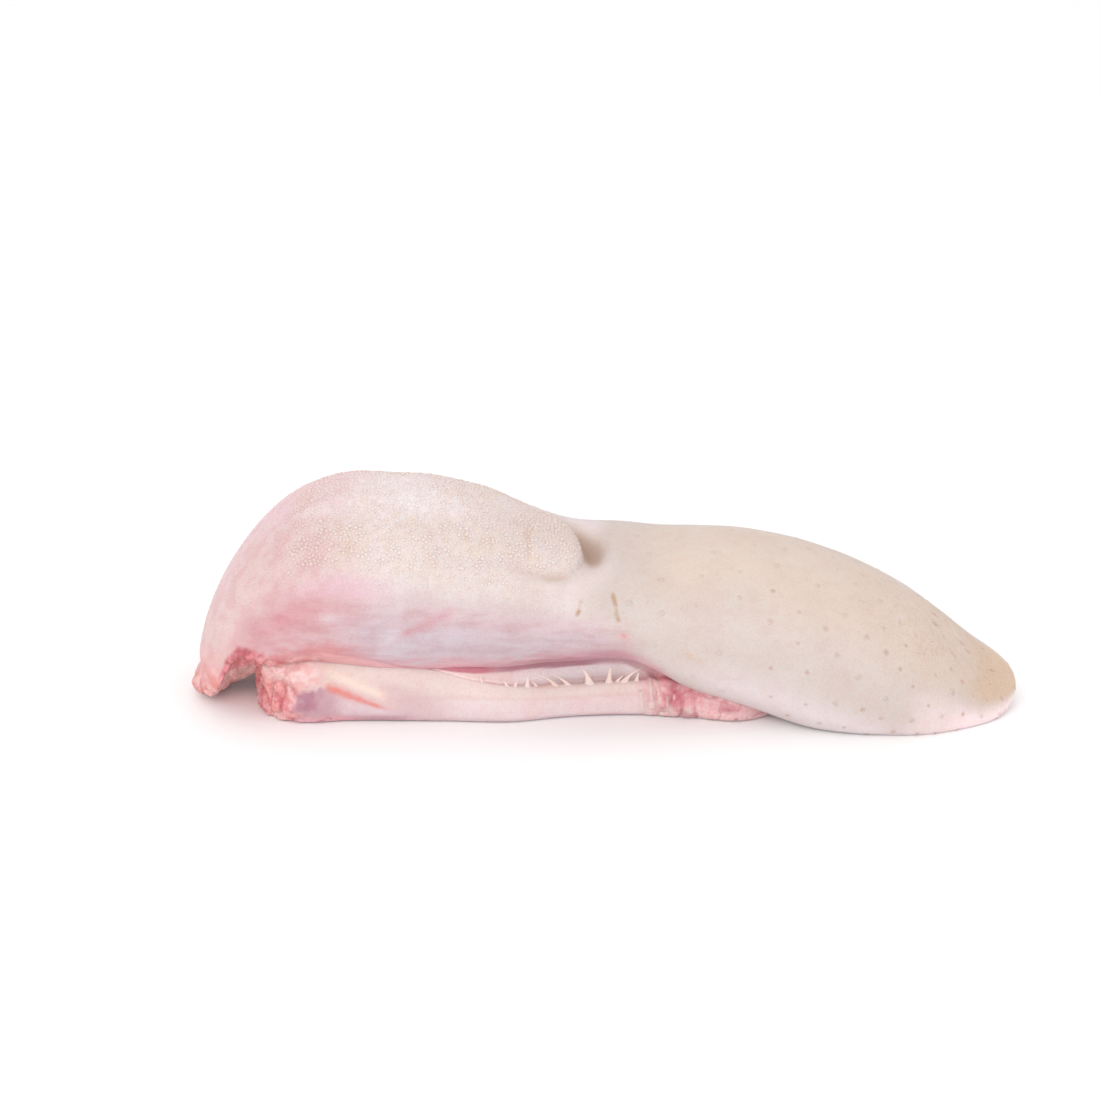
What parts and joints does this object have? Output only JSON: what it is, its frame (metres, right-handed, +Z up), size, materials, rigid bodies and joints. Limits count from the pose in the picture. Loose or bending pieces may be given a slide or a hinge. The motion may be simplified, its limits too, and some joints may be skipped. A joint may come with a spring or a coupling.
{
  "type": "raw beef tongue",
  "caption": "Whole raw beef tongue lying on its underside, with a raised rear pad, a hollow in front of it, a rounded tip and soft under tissue with pointed papillae.",
  "frame": {"origin": "on the surface the tongue lies on, under the middle of its bounding box", "axes": "+X along the tongue towards its tip, +Y towards its far side, +Z up"},
  "size_m": [0.3204, 0.1045, 0.0847],
  "materials": {
    "flesh": "satin"
  },
  "bodies": {
    "root": {"beef_tongue": "flesh"}
  },
  "joints": []
}
